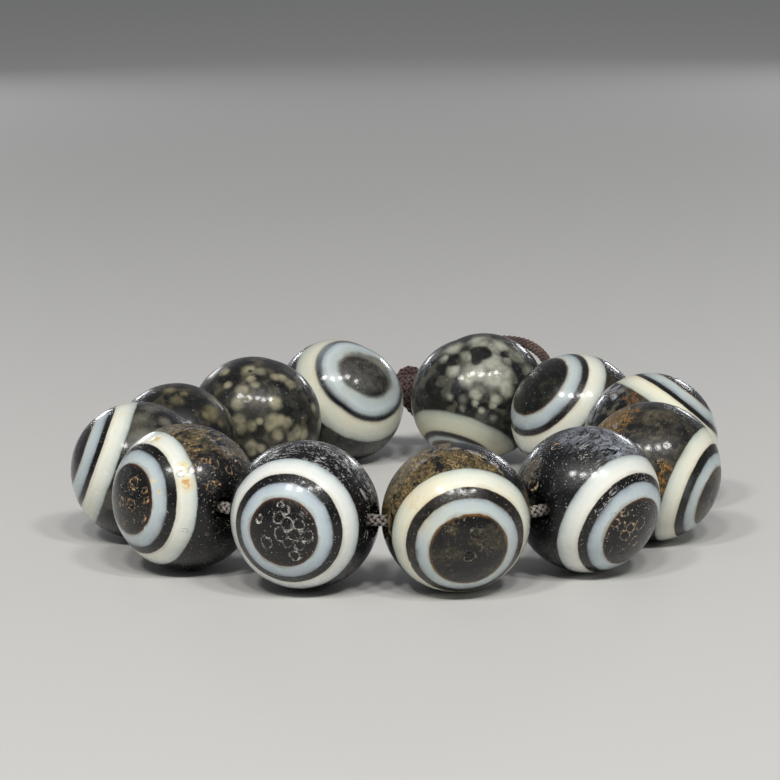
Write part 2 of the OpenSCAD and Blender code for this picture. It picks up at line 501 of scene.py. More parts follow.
class Stone(Graph):
    """Builds the material of one bead's agate.

    Its coordinates are the bead's own, turned so that Z runs out through the eye, with the bead's
    radius as unit. Each noise takes a slice of its own, the agate's seed plus a number.
    """

    def __init__(self, name: str, agate: Agate, centre: np.ndarray, radius: float,
                 axes: np.ndarray) -> None:
        """Starts the material with its coordinates and its wear.

        Args:
            name: The material's name.
            agate: What the stone is like.
            centre: The bead's middle.
            radius: The bead's radius.
            axes: Rows are the eye's right, up and outward directions.
        """
        super().__init__(name)
        self.agate, self.axes = agate, axes
        turn = tuple(Matrix(axes.tolist()).to_euler("XYZ"))
        place = self.add("ShaderNodeTexCoord").outputs["Object"]
        self.here = self.placed(place, (1 / radius,) * 3, tuple(-(axes @ centre) / radius), turn)
        worn = self.add("ShaderNodeAttribute", attribute_name="wear")
        self.wear = dict(zip(Wear, [*self.split(worn.outputs["Color"]), worn.outputs["Alpha"]]))
        self.depth = self.height()

    def clouds(self, scale: float, detail: float, number: float, rough: float = 0.55) -> Socket:
        """Cloudy noise from 0 to 1 over the stone, in the slice of a number."""
        return self.noise(self.here, scale, detail, self.agate.seed + number, rough)

    def sway(self, scale: float, detail: float, number: float, amount: float) -> Socket:
        """Cloudy noise over the stone that swings to both sides of nothing by half an amount."""
        return self.product(self.math("SUBTRACT", self.clouds(scale, detail, number), 0.5), amount)

    def spots(self, grain: tuple[float, ...], cut: Pair, ends: Pair = (0.0, 1.0),
              place: Socket | None = None) -> Socket:
        """Soft spots over the stone: cloudy noise, stretched from low to high.

        Args:
            grain: Its scale, octaves and slice, and the strength of its octaves if that isn't 0.55.
            cut: Values of the noise where a spot's edge begins and ends.
            ends: The result outside and inside the spots.
            place: Coordinates, if they aren't the eye's.

        Returns:
            The result's socket.
        """
        scale, detail, number, *rough = grain
        place = self.here if place is None else place
        noise = self.noise(place, scale, detail, self.agate.seed + number, *rough)
        return self.step(noise, *cut, *ends)

    def build(self) -> bpy.types.Material:
        """Lays the colours over each other from the dark stone up, and adds polish and relief.

        Returns:
            The finished material.
        """
        agate, bands = self.agate, self.agate.bands
        cuts = (bands.cream_outer, bands.cream_inner, bands.blue_outer, bands.blue_inner)
        inside = [self.step(self.depth, cut - bands.blur, cut + bands.blur) for cut in cuts]
        if agate.oval is not None:
            inside[3] = self.oval_mask(agate.oval)
        cream, ring, blue = [self.math("SUBTRACT", inside[k], inside[k + 1]) for k in range(3)]
        dark = self.math("SUBTRACT", 1.0, self.math("ADD", cream, blue, clamp=True))

        colour, crust = self.body_colour()
        mottled = self.spots((16, 6, 31, 0.7), (0.38, 0.62))
        colour = self.mix(ring, colour, self.shaded(mottled, agate.between, 0.4))
        colour = self.mix(inside[3], colour, self.pupil_colour())
        colour = self.dusted_with_glints(colour)
        line = self.mark_lines() if agate.marks else None
        if line is not None:
            # Pale mark lines, dim and bright by turns: partly their own colour, partly painted glints.
            glint = self.shaded(self.spots((24, 3, 30), (0.40, 0.62)), agate.mark_and_glint_tone, 0.5)
            colour = self.mix(self.product(line, 0.85), colour, glint)
        even, warm = (1.0,) * len(BAND_PLACES), agate.warmth
        faded = (agate.glow,) * 3 + (agate.glow * (1 - 0.5 * agate.fade), 1 - agate.fade)
        colour = self.mix(cream, colour, self.band_colour(cuts[:2], CREAM_TONES, even, warm))
        colour = self.mix(blue, colour, self.band_colour(cuts[2:], BLUE_TONES, faded, 0.5 * warm))
        colour = self.mix(self.product(ring, self.wear[Wear.PALE], 0.9), colour, linear(WASHED_RING))
        if agate.oval is None:
            colour = self.rim_lines(colour)

        rough = self.spots((9, 5, 5, 0.7), (0.35, 0.75), (agate.rough * 0.75, agate.rough * 1.35))
        rough = self.math("ADD", rough, self.product(crust, 0.3, dark), clamp=True)
        normal, polish = self.surface(dark, self.product(crust, dark), line)
        self.feed(self.shader, {"Base Color": colour, "Roughness": rough,
                                "Normal": normal, "Coat Normal": polish})
        self.shader.inputs["IOR"].default_value = 1.54
        self.shader.inputs["Specular IOR Level"].default_value = 0.28
        self.shader.inputs["Coat Weight"].default_value = 0.42
        self.shader.inputs["Coat Roughness"].default_value = 0.05
        return self.material

    def height(self) -> Socket:
        """Height along the eye's axis, with a slow sway and a fine jitter that shift each edge.

        Returns:
            The height's socket. The shift is taken along the surface, so it is multiplied by the
            sine of the angle from the axis, the square root of one less the height squared.
        """
        z = self.split(self.here)[2]
        sine = self.math("SQRT", self.math("SUBTRACT", 1.0, self.product(z, z), clamp=True))
        shift = self.math("ADD", self.sway(2.0, 2, 0, 0.05), self.sway(30, 2, 3, 0.012))
        return self.math("ADD", z, self.product(shift, sine))

    def oval_mask(self, oval: Oval) -> Socket:
        """Marks the inside of an oval pupil.

        Args:
            oval: Its shape.

        Returns:
            One where the sum of squares of the place over the oval's half axes is under 1, with a
            ragged edge, and nothing at the back of the bead.
        """
        place = self.placed(self.here, (oval.long, oval.short, 1.0), (oval.right, oval.up, 0.0),
                            (0.0, 0.0, math.radians(oval.turn)), "TEXTURE")
        x, y, _ = self.split(place)
        total = self.math("ADD", self.product(x, x), self.product(y, y))
        inside = self.step(self.math("ADD", total, self.sway(3.0, 3, 21, 0.5)), 0.78, 1.25, 1.0, 0.0)
        return self.product(inside, self.step(self.split(self.here)[2], 0.0, 0.1))

    def body_colour(self) -> tuple[Socket, Socket]:
        """Colours the dark stone.

        Returns:
            The colour's socket, and how much crust lies at each place.
        """
        agate, earth, pale = self.agate, self.wear[Wear.EARTH], self.wear[Wear.PALE]
        colour = self.shaded(self.clouds(3, 3, 1), agate.body, 1.0, 2.2)
        if agate.haze_amount > 0:
            drift = self.clouds(2.6, 6, 2, 0.62)
            if agate.lump is None:
                drift = self.math("ADD", drift, self.product(pale, 0.20))
            edge = 0.68 - 0.30 * agate.haze_amount
            tone = self.shaded(self.spots((7, 5, 4, 0.65), (0.35, 0.65)), agate.haze, 0.5)
            colour = self.mix(self.step(drift, edge - 0.06, edge + 0.16), colour, tone)
        for number, layer in enumerate(agate.blobs):
            mask, pick = self.blob_mask(layer, agate.seed + 3.1 * number)
            if layer.where is not None:
                mask = self.product(mask, self.wear[layer.where])
            colour = self.mix(mask, colour, self.shaded(pick, layer.tone, 0.62))
        if agate.lump is not None:
            solid = self.step(self.math("ADD", pale, self.sway(7, 3, 26, 0.5)), 0.02, 0.95)
            tone = self.shaded(self.spots((4, 3, 27), (0.35, 0.6)), agate.lump, 0.72)
            colour = self.mix(self.product(solid, 0.92), colour, tone)
        drawn = self.placed(self.here, (1.0, 1.0, 1.0 / agate.dash))
        clot = self.noise(drawn, 7.0, 8, agate.seed + 7, 0.68)
        clot = self.step(self.math("ADD", clot, self.product(earth, 0.14)), 0.51, 0.57)
        vein = self.away(self.noise(drawn, 6.5, 7, agate.seed + 28, 0.7), 0.5)
        crust = self.product(self.step(earth, 0.05, 0.4), clot, self.step(vein, 0.004, 0.022, 0.1))
        grain = self.spots((30, 5, 8, 0.75), (0.40, 0.58), place=drawn)
        bright = self.spots((13, 7, 10, 0.78), (0.52, 0.60), place=drawn)
        tone = self.shaded(grain, agate.earth, 0.38)
        tone = self.mix(self.product(bright, grain), tone, linear(agate.ochre))
        return self.mix(crust, colour, tone), crust

    def blob_mask(self, layer: Blobs, seed: float) -> tuple[Socket, Socket]:
        """Scatters one layer of rounded clouds.

        Args:
            layer: The clouds.
            seed: Shifts the scatter, so that each layer of each bead has its own.

        Returns:
            The clouds' strength at each place, and a number that differs between them. Plates
            reach to just short of the borders of their cells; soft clouds lie where a smooth
            noise is above a level.
        """
        bent = self.bent(self.here, 4.0, 0.16, {"W": seed})
        place = self.placed(bent, (1.0, 1.0, layer.squash), (seed, 1.7 * seed, 0.6 * seed))
        if layer.cracked:
            cells = {"Vector": place, "Scale": layer.scale}
            pick = self.split(self.add("ShaderNodeTexVoronoi", cells, feature="F1").outputs["Color"])
            border = self.add("ShaderNodeTexVoronoi", cells, feature="DISTANCE_TO_EDGE")
            plate = self.step(border.outputs["Distance"], 0.02, 0.05 + 0.20 * layer.soft)
            torn = self.step(self.noise(self.here, 26, 4, seed, 0.7), 0.36, 0.52, 0.18)
            kept = self.step(pick[1], 1 - layer.fill, 1.08 - layer.fill)
            return self.product(plate, torn, kept), pick[2]
        level, width = 0.66 - 0.32 * layer.fill, 0.015 + 0.09 * layer.soft
        detail, rough = 1.5 + 6 * layer.ragged, 0.4 + 0.32 * layer.ragged
        thick = self.noise(place, layer.scale, detail, seed + 0.4, rough)
        mask = self.step(thick, level - width, level + width)
        if layer.hollow > 0:
            dark = self.step(thick, level + 0.06, level + 0.12, 1.0, 1 - layer.hollow)
            mask = self.product(mask, dark)
        return mask, self.noise(place, 2 * layer.scale, 1, seed + 0.8)

    def pupil_colour(self) -> Socket:
        """Colours the pupil.

        Returns:
            The colour's socket: nearly black, with ragged clouds where it has them, denser under
            earthy wear.
        """
        agate = self.agate
        colour = self.shaded(self.clouds(6, 4, 11), agate.pupil, 1.0, 2.0)
        if agate.veil_amount <= 0:
            return colour
        denser = self.product(self.wear[Wear.EARTH], 0.16)
        drift = self.math("ADD", self.clouds(3.6, 7, 12, 0.66), denser)
        edge = 0.66 - 0.26 * agate.veil_amount
        grain = self.spots((agate.veil_grain, 5, 13, 0.7), (0.38, 0.66))
        tone = self.shaded(grain, agate.pupil_veil, 0.4)
        return self.mix(self.step(drift, edge - 0.05, edge + 0.08), colour, tone)

    def dusted_with_glints(self, colour: Socket) -> Socket:
        """Lays pale specks, partly dust and partly painted glints, in pits of the dark stone, more where
        the wear says so.

        Args:
            colour: The colour so far.

        Returns:
            The new colour. Grains, partly dust and partly painted glints, lie where a fine noise is
            above a level that falls with the dust; thin pale scratches, partly painted rim highlights,
            follow the banding, where noise drawn out along it passes its middle value.
        """
        extra = self.wear[Wear.DUST_AND_GLINTS]
        drift = self.spots((5.0, 6, 22, 0.65), (0.36, 0.64), (0.25, 1.0))
        amount = self.product(self.math("ADD", extra, 0.5 * self.agate.dust_and_glints), drift, 0.11)
        # Pale specks in the pits: partly dust, partly painted glints of the lamps on micro-pits.
        dust_and_glint_grains = self.step(self.math("ADD", self.clouds(46, 1, 16, 0.5), amount), 0.70, 0.74)
        bright = self.spots((26, 2, 23), (0.4, 0.60))
        shade = self.mix(bright, linear(DULL_DUST_AND_GLINT), linear(self.agate.dust_and_glint_tone))
        colour = self.mix(self.product(dust_and_glint_grains, 0.85), colour, shade)
        # Thin pale lines along the banding: partly scratches, partly painted rim highlights.
        layers = self.noise(self.placed(self.here, (2.0, 2.0, 22.0)), 1.0, 3, self.agate.seed + 24, 0.6)
        lines = self.step(self.away(layers, 0.5), 0.0, 0.04, 1.0, 0.0)
        broken = self.spots((9, 4, 29, 0.65), (0.47, 0.55))
        lines = self.product(lines, self.step(extra, 0.35, 0.8), broken, 0.92)
        return self.mix(lines, colour, linear(SCRATCH_AND_RIM_GLINT))

    def mark_lines(self) -> Socket:
        """Draws the bubble marks.

        Returns:
            How strongly a mark runs through each place. Bubbles that overlap share one wall: a
            line runs where the nearest circle is at hand, or where two circles reach equally
            deep. It swells, thins and breaks up with noise.
        """
        bend = 0.09
        place = self.bent(self.here, 7.0, bend, {})
        first, second = None, 9.0
        for mark in self.agate.marks:
            middle = tuple(self.axes @ unit(np.array(mark.toward)) + bend / 2)
            away = self.add("ShaderNodeVectorMath", {0: place, 1: middle}, operation="DISTANCE")
            chord = 2 * math.sin(math.radians(mark.across) / 2)
            off = self.math("SUBTRACT", away.outputs["Value"], chord)
            if first is not None:
                second = self.math("MINIMUM", second, self.math("MAXIMUM", first, off))
                off = self.math("MINIMUM", first, off)
            first = off
        wall = self.math("MAXIMUM", self.product(self.math("SUBTRACT", second, first), 0.5), first)
        nearest = self.math("MINIMUM", self.math("ABSOLUTE", first), wall)
        thick = self.spots((11, 3, 25), (0.40, 0.66), (0.006, 0.030))
        line = self.math("SUBTRACT", 1.0, self.math("DIVIDE", nearest, thick), clamp=True)
        broken = self.spots((15, 3, 14), (0.38, 0.56))
        specks = self.spots((64, 2, 15), (0.36, 0.54), (0.35, 1.0))
        return self.product(self.step(line, 0.0, 0.6), broken, specks)

    def band_colour(self, cuts: Pair, tones: tuple[Vec, ...], lit: tuple[float, ...],
                    warm: float) -> Socket:
        """Colours a pale band: bluish at its outer edge, whitest near its inner one, and stained.

        Args:
            cuts: Heights of its outer and inner edge.
            tones: Colours from the outer edge to the inner.
            lit: How bright each of them is.
            warm: How yellow it is, from 0 to 1.

        Returns:
            The colour's socket. Stain adds a yellow wash, and rusty crumbs where it is strong.
        """
        stain, bright = self.wear[Wear.STAIN], 1 - self.agate.milk
        across = self.math("ADD", self.depth, self.sway(4, 3, 20, 0.08))
        ramp = self.add("ShaderNodeValToRGB", {0: self.step(across, *cuts, curve="LINEAR")})
        stops = ramp.color_ramp.elements
        for _ in BAND_PLACES[2:]:
            stops.new(0.5)
        tint = bright * np.array([1.0 - 0.01 * warm, 1.0 - 0.03 * warm, 1.0 - 0.14 * warm])
        for stop, place, tone, share in zip(stops, BAND_PLACES, tones, lit):
            stop.position = place
            stop.color = linear(tone, share * tint)
        yellow = self.spots((3.0, 4, 24, 0.6), (0.45, 0.75), (0.0, 0.5))
        drift = self.spots((4.0, 4, 26, 0.6), (0.30, 0.60), (0.35, 0.9))
        wash = self.math("ADD", self.product(yellow, warm), self.product(stain, drift), clamp=True)
        colour = self.mix(wash, ramp.outputs["Color"], linear(YELLOW_WASH, bright))
        freckle = self.spots((34, 5, 21, 0.7), (0.68, 0.78), (0.0, 0.45))
        colour = self.mix(freckle, colour, linear(FRECKLE))
        crumbs = self.spots((14, 6, 22, 0.72), (0.46, 0.60))
        rust = self.product(self.step(stain, 0.5, 0.85), crumbs, 0.9)
        return self.mix(rust, colour, linear(RUST))

    def rim_lines(self, colour: Socket) -> Socket:
        """Draws the thin burnt line round the pupil, patchy, and fainter ones at the other edges.

        Args:
            colour: The colour so far.

        Returns:
            The new colour. A line is full at a cut and fades out over its width.
        """
        bands = self.agate.bands
        lines = ((bands.blue_inner, 0.014, 0.85), (bands.cream_outer, 0.007, 0.3),
                 (bands.cream_inner, 0.008, 0.35), (bands.blue_outer, 0.008, 0.35))
        patchy = self.spots((5, 4, 9), (0.32, 0.6), (0.2, 1.0))
        for cut, width, strength in lines:
            away = self.away(self.depth, cut + 0.5 * width)
            line = self.step(away, 0.15 * width, width, strength, 0.0)
            colour = self.mix(self.product(line, patchy), colour, linear(self.agate.rim))
        return colour

    def surface(self, dark: Socket, crust: Socket, line: Socket | None) -> tuple[Socket, ...]:
        """Fine relief: pin pricks in the dark stone, the crust's grain and the ring marks' lines.

        Args:
            dark: One on dark stone and nothing on pale bands.
            crust: How much crust lies on the dark stone at each place.
            line: How strongly a bubble mark runs there, if the stone has any.

        Returns:
            The stone's normal and the gentler one of its polish.
        """
        pricked = self.math("ADD", self.product(dark, 0.80), 0.12)
        skin = self.product(self.clouds(58, 4, 17, 0.6), pricked)
        clods = self.product(self.clouds(24, 7, 19, 0.75), crust)
        layers = (skin, clods) if line is None else (skin, clods, line)
        normals = []
        for depths in (STONE_RELIEF, POLISH_RELIEF):
            under = {}
            for height, depth in zip(layers, depths):
                under = {"Normal": self.relief(height, depth, under)}
            normals.append(under["Normal"])
        return tuple(normals)


@dataclass
class Bead:
    """One drilled stone bead: its place comes from its CAD node, its form and looks from here.

    Attributes:
        node: The CAD node that it stands for.
        eye: Direction in which its eye looks.
        finish: Its stone.
        patches: Its worn and stained places.
        swing: Turn of its hole from the tangent of the ring, in degrees.
        stretch: How much longer than round it is, in nominal beads.
        lean: Rise of its long axis towards +X, in degrees.
        rings: Rings of points from one mouth of the hole to the other.
        dimples: Small hollows worn in it, each a direction, an angle across and a depth in mm.
        hole: Radius of its hole.
        mouth: Radius of the hole's dished mouth.
        dish: How much further than a chamfer of 45 degrees the dish goes in.
        inner_rings: Rings of points in each dish, and in the tube between them.
        uneven: Depth of its broad hand-ground unevenness.
        pits: How many small pits are scattered over it.
        pit_across: Their least and greatest radius, in degrees.
        pit_depth: Their least and greatest depth, in mm.
        centre: Its middle, from the box of its CAD node.
        bore: Direction of its hole, which the stringing sets.
        radius: Its radius, without the stretch.
        long_axis: Direction in which it is stretched.
        half_stretch: Half the length that the stretch adds.
    """

    node: str
    eye: Vec
    finish: Agate
    patches: tuple[Patch, ...] = ()
    swing: float = 0.0
    stretch: float = 0.0
    lean: float = 0.0
    rings: int = 132
    dimples: tuple[tuple[float, ...], ...] = ()
    hole: float = 1.1 * MM
    mouth: float = 1.9 * MM
    dish: float = 0.22 * MM
    inner_rings: int = 6
    uneven: float = 0.035 * MM
    pits: int = 46
    pit_across: Pair = (1.4, 3.4)
    pit_depth: Pair = (0.02, 0.07)
    centre: np.ndarray = field(init=False)
    bore: np.ndarray = field(init=False)
    radius: float = field(init=False)
    long_axis: np.ndarray = field(init=False)
    half_stretch: float = field(init=False)

    def __post_init__(self) -> None:
        """Reads the bead's place and size from the box of its CAD node."""
        low, high = (np.array(corner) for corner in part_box(self.node))
        self.centre = (low + high) / 2
        tilt = math.radians(self.lean)
        self.long_axis = np.array([math.cos(tilt), 0.0, math.sin(tilt)])
        self.half_stretch = self.stretch * NOMINAL_BEAD / 2
        self.radius = (high[2] - low[2]) / 2 - self.half_stretch * abs(self.long_axis[2])

    @property
    def number(self) -> int:
        """The bead's number in the ring, from 1."""
        return int(self.node[-2:])

    @property
    def half_length(self) -> float:
        """Distance from the middle to the outside along the bead's long axis."""
        return self.radius + self.half_stretch

    def reach(self, ways: np.ndarray) -> np.ndarray:
        """Distance from the middle to the outside along each way.

        Args:
            ways: Unit directions, with three numbers along the last axis.

        Returns:
            For a ball, its radius. For a long bead, the far side of the nearer of two balls that
            lie half the stretch to each side of the middle.
        """
        along = np.abs(ways @ self.long_axis)
        e, r = self.half_stretch, self.radius
        return e * along + np.sqrt(r * r - e * e * (1 - along * along))

    def on_bore(self, out: float) -> np.ndarray:
        """Point on the hole's axis, out by a distance from the middle."""
        return self.centre + out * self.bore

    def mouth_at(self, side: int, out: float = 0.0) -> np.ndarray:
        """Point on the hole's axis, out by a distance from the first, -1, or second, 1, mouth."""
        return self.on_bore(side * (float(self.reach(self.bore)) + out))

    def hollows(self, ways: np.ndarray) -> np.ndarray:
        """Depth of the stone's unevenness below its true form.

        Args:
            ways: Unit directions, an array with three numbers along the last axis.

        Returns:
            Metres, from a broad hand-ground unevenness, scattered pits and the named dimples.
            A pit is a cap whose depth falls with the square of the distance from its middle, and
            a dimple is one with a raised lip.
        """
        rng = np.random.default_rng(400 + self.number)
        depth = self.uneven * (cloud(ways * 2.1 + 7.3 * self.number, 60 + self.number, 2) + 0.6)
        middles = rng.normal(size=(self.pits, 3))
        sizes = np.radians(rng.uniform(*self.pit_across, self.pits))
        depths = rng.uniform(*self.pit_depth, self.pits) * MM
        for middle, size, low in zip(middles, sizes, depths):
            depth += low * np.clip(1 - (angle_from(ways, middle) / size) ** 2, 0, 1) ** 1.5
        for *toward, across, low in self.dimples:
            away = angle_from(ways, toward) / math.radians(across)
            lip = 0.35 * np.exp(-((away - 1.1) / 0.22) ** 2)
            depth += low * MM * (np.clip(1 - away ** 2, 0, 1) - lip)
        return depth

    def outline(self) -> np.ndarray:
        """The bead's whole surface as a closed grid.

        Returns:
            Points, with a row for each ring. The rings run over the outside from one mouth to
            the other and back through the hole, so that the last ring joins the first. A point
            of the outside lies at its reach along its direction, less the hollows there; those of
            the dish lie on a straight slope; those of the hole on a tube.
        """
        turn = np.linspace(0, TURN, 2 * self.rings, endpoint=False)
        side = unit(np.cross(UP, self.bore))
        spoke = np.cos(turn)[:, None] * side + np.sin(turn)[:, None] * UP
        chips = [1 + 0.10 * cloud(spoke * 2.6 + 5.1 * end + self.number, 30 + end, 3) for end in (0, 1)]
        first, last = (np.arcsin(self.mouth * chip / self.radius) for chip in chips)
        share = np.linspace(0, 1, self.rings)[:, None]
        polar = first * (1 - share) + (math.pi - last) * share
        ways = np.cos(polar)[..., None] * self.bore + np.sin(polar)[..., None] * spoke
        outside = self.centre + (self.reach(ways) - self.hollows(ways))[..., None] * ways
        inset = self.mouth - self.hole + self.dish
        near, far = (self.mouth_at(end, -inset) + self.hole * spoke for end in (1, -1))
        slope = np.linspace(0, 1, self.inner_rings + 1)[1:, None, None]
        tube = np.linspace(0, 1, self.inner_rings + 2)[1:-1, None, None]
        into = outside[-1] * (1 - slope) + far * slope
        through = far * (1 - tube) + near * tube
        back = near * slope[::-1] + outside[0] * (1 - slope[::-1])
        return np.concatenate([outside, into, through, back])

    def wear_at(self, points: np.ndarray) -> np.ndarray:
        """Strength of each kind of wear at each point.

        Args:
            points: Corner places, one row each.

        Returns:
            A row for each point and a column for each kind. A patch is full at its middle and
            fades to nothing at its reach, which a soft noise pulls in and out.
        """
        ways = unit(points - self.centre)
        ragged = 1 + 0.28 * cloud(ways * 4.5, 90 + self.number, 3)
        total = np.zeros((len(points), len(Wear)))
        for patch in self.patches:
            away = np.degrees(angle_from(ways, patch.toward)) / patch.reach
            strength = np.clip(1.25 * (1 - away / ragged), 0, 1) * patch.amount
            column = total[:, patch.wear.value]
            added = np.clip(column + strength, 0, 1)
            column[:] = np.maximum(column, strength) if patch.amount > 0 else added
        return total

    def build(self) -> bpy.types.Object:
        """Makes the bead's mesh, dresses it and puts it in the place of its CAD node.

        Returns:
            The linked object.
        """
        grid = self.outline()
        points = grid.reshape(-1, 3)
        piece = new_mesh(self.node + "_stone", points, grid_quads(*grid.shape[:2], True)[:, ::-1])
        wear = piece.data.attributes.new("wear", "FLOAT_COLOR", "POINT")
        wear.data.foreach_set("color", self.wear_at(points).astype(np.float32).ravel())
        outward = unit(np.array(self.eye))
        right = unit(np.cross(UP, outward))
        axes = np.array([right, np.cross(outward, right), outward])
        stone = Stone(self.node + "_agate", self.finish, self.centre, self.radius, axes)
        piece.data.materials.append(stone.build())
        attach(piece, "root")
        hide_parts(self.node)
        LOG.info("%s: %d corners, radius %.2f mm", piece.name, len(points), self.radius / MM)
        return piece


@dataclass(frozen=True)
class Thread:
    """Dusty braided thread, with painted highlights on the crowns of its strands.

    Attributes:
        shade: Colour of its clean fibres.
        dust_and_glints: Colour on its high places, partly dust and partly painted highlight.
        dust_and_glint_amount: How much of it there is.
    """

    shade: Vec
    dust_and_glints: Vec
    dust_and_glint_amount: float

    def material(self, name: str) -> bpy.types.Material:
        """Builds the thread's material: fibres along the strands, with pale crowns, partly dust, partly
        painted highlight.

        Args:
            name: The material's name.

        Returns:
            The material. It reads the strands' own map, whose U goes round a strand and V along
            it in millimetres, and their crown attribute, one on top of the braid.
        """
        g = Graph(name)
        strand = g.add("ShaderNodeUVMap", uv_map="strand").outputs["UV"]
        fibres = g.noise(g.placed(strand, (9.0, 0.8, 1.0)), 3.0, 4, 1.0, 0.65)
        drift = g.noise(g.add("ShaderNodeTexCoord").outputs["Object"], 420, 4, 2.0)
        crown = g.add("ShaderNodeAttribute", attribute_name="crown").outputs["Fac"]
        colour = g.shaded(g.step(fibres, 0.3, 0.7), self.shade, 0.55)
        # Pale on the strands' crowns, where they face outwards: partly dust, partly painted highlight.
        glinting_dust = g.product(g.step(crown, 0.55, 0.92), g.step(drift, 0.38, 0.60, 0.35),
                          self.dust_and_glint_amount, g.step(fibres, 0.38, 0.60, 0.3))
        colour = g.mix(glinting_dust, colour, linear(self.dust_and_glints))
        g.feed(g.shader, {"Base Color": colour, "Normal": g.relief(fibres, 0.04 * MM, {})})
        g.shader.inputs["Roughness"].default_value = 0.82
        g.shader.inputs["Sheen Weight"].default_value = 0.25
        g.shader.inputs["Sheen Roughness"].default_value = 0.5
        return g.material


@dataclass
class Braid:
    """A round braid of eight strands laid along a path.

    Attributes:
        path: Points along its middle, one row each, closely spaced.
        radius: Outer radius of the braid.
        pairs: Strands that wind each way.
        turn: Length along the path of one turn of a strand.
        round_points: Points round each strand.
        thick: Half a strand's thickness, as a share of the radius.
        wide: Half its width.
        swell: How far it goes out and in where it passes over and under others.
    """

    path: np.ndarray
    radius: float
    pairs: int = 4
    turn: float = 3.1 * MM
    round_points: int = 6
    thick: float = 0.17
    wide: float = 0.29
    swell: float = 0.14

    def surface(self) -> tuple[np.ndarray, np.ndarray, tuple[np.ndarray, ...], np.ndarray, np.ndarray]:
        """Works out all the strands at once.

        Returns:
            Points, quads, end faces, the strand map and the crown of each point. A strand's
            middle runs round the path at a radius that swells and shrinks with four waves a turn,
            opposite for the two ways of winding, so that strands pass over and under each other.
            Its section is a flat oval whose short side points away from the path.
        """
        along = line_lengths(self.path)
        tangent = unit(np.gradient(self.path, axis=0))
        side = self.carried(tangent)
        up = np.cross(tangent, side)
        way = np.repeat([1.0, -1.0], self.pairs)[:, None]
        first = np.tile(np.arange(self.pairs) * TURN / self.pairs, 2)[:, None]
        wind = TURN * along / self.turn
        angle = way * wind + first
        rise = way * np.cos(self.pairs * wind)
        out = np.cos(angle)[..., None] * side + np.sin(angle)[..., None] * up
        middle = self.radius * (1 - self.thick - self.swell + self.swell * rise)
        line = self.path + middle[..., None] * out
        lay = unit(np.gradient(line, axis=1))
        out = unit(out - (out * lay).sum(-1, keepdims=True) * lay)[:, :, None]
        across = np.cross(lay[:, :, None], out)
        turn = np.arange(self.round_points) * TURN / self.round_points
        oval = self.thick * np.cos(turn)[:, None] * out + self.wide * np.sin(turn)[:, None] * across
        points = line[:, :, None] + self.radius * oval

        strands, stations = line.shape[:2]
        number = np.arange(strands)[:, None, None]
        corners = np.arange(points[..., 0].size).reshape(points.shape[:3])
        quads = grid_quads(stations, self.round_points, False) + number * corners[0].size
        ends = tuple(end for strand in corners for end in (strand[0, ::-1], strand[-1]))
        crown = np.clip(0.5 + 0.35 * rise[:, :, None] + 0.35 * np.cos(turn), 0, 1)
        u = np.broadcast_to(turn / TURN + 1.7 * number, crown.shape)
        v = np.broadcast_to((along / MM)[:, None], crown.shape)
        strand_map = np.stack([u, v], axis=-1).reshape(-1, 2)
        return points.reshape(-1, 3), quads.reshape(-1, 4), ends, strand_map, crown.ravel()

    def carried(self, tangent: np.ndarray) -> np.ndarray:
        """Carries a side direction along the path without needless twist.

        Args:
            tangent: Directions of the path, one row each.

        Returns:
            Side directions, the first one level, and each the one before it made square to the
            path again.
        """
        sides = np.empty_like(tangent)
        sides[0] = unit(np.cross(tangent[0], UP if abs(tangent[0][2]) < 0.9 else np.array([1.0, 0, 0])))
        for k in range(1, len(tangent)):
            sides[k] = unit(sides[k - 1] - (sides[k - 1] @ tangent[k]) * tangent[k])
        return sides


def braided_piece(name: str, braids: list[Braid], finish: Thread) -> bpy.types.Object:
    """Joins braids into one object with the strand map and crown attribute, and dresses it.

    Args:
        name: The object's name.
        braids: The braids in it.
        finish: Its thread.

    Returns:
        The linked object.
    """
    points, quads, ends, maps, crowns, count = [], [], [], [], [], 0
    for braid in braids:
        corners, faces, caps, strand_map, crown = braid.surface()
        points.append(corners)
        quads.append(faces + count)
        ends.extend(cap + count for cap in caps)
        maps.append(strand_map)
        crowns.append(crown)
        count += len(corners)
    piece = new_mesh(name, np.concatenate(points), np.concatenate(quads), tuple(ends))
    loops = np.empty(len(piece.data.loops), dtype=np.int32)
    piece.data.loops.foreach_get("vertex_index", loops)
    layer = piece.data.uv_layers.new(name="strand")
    layer.data.foreach_set("uv", np.concatenate(maps)[loops].astype(np.float32).ravel())
    layer = piece.data.attributes.new("crown", "FLOAT", "POINT")
    layer.data.foreach_set("value", np.concatenate(crowns).astype(np.float32))
    piece.data.materials.append(finish.material(name + "_thread"))
    return piece


def evenly(points: np.ndarray, spacing: float) -> np.ndarray:
    """Places points evenly along a line of points.

    Args:
        points: The line, one row each.
        spacing: Distance wanted between them.

    Returns:
        Points at equal distances along the line, by straight interpolation.
    """
    along = line_lengths(points)
    at = np.linspace(0, along[-1], max(4, int(round(along[-1] / spacing)) + 1))
    return np.stack([np.interp(at, along, points[:, k]) for k in range(3)], axis=1)


def smooth_line(points: np.ndarray, rounds: int) -> np.ndarray:
    """Eases the corners of a line.

    Args:
        points: The line, one row each.
        rounds: How many times it is eased.

    Returns:
        The line with the same ends. Each round moves an inner point halfway to the mean of its
        neighbours.
    """
    line = points.copy()
    for _ in range(rounds):
        line[1:-1] = 0.5 * line[1:-1] + 0.25 * (line[:-2] + line[2:])
    return line


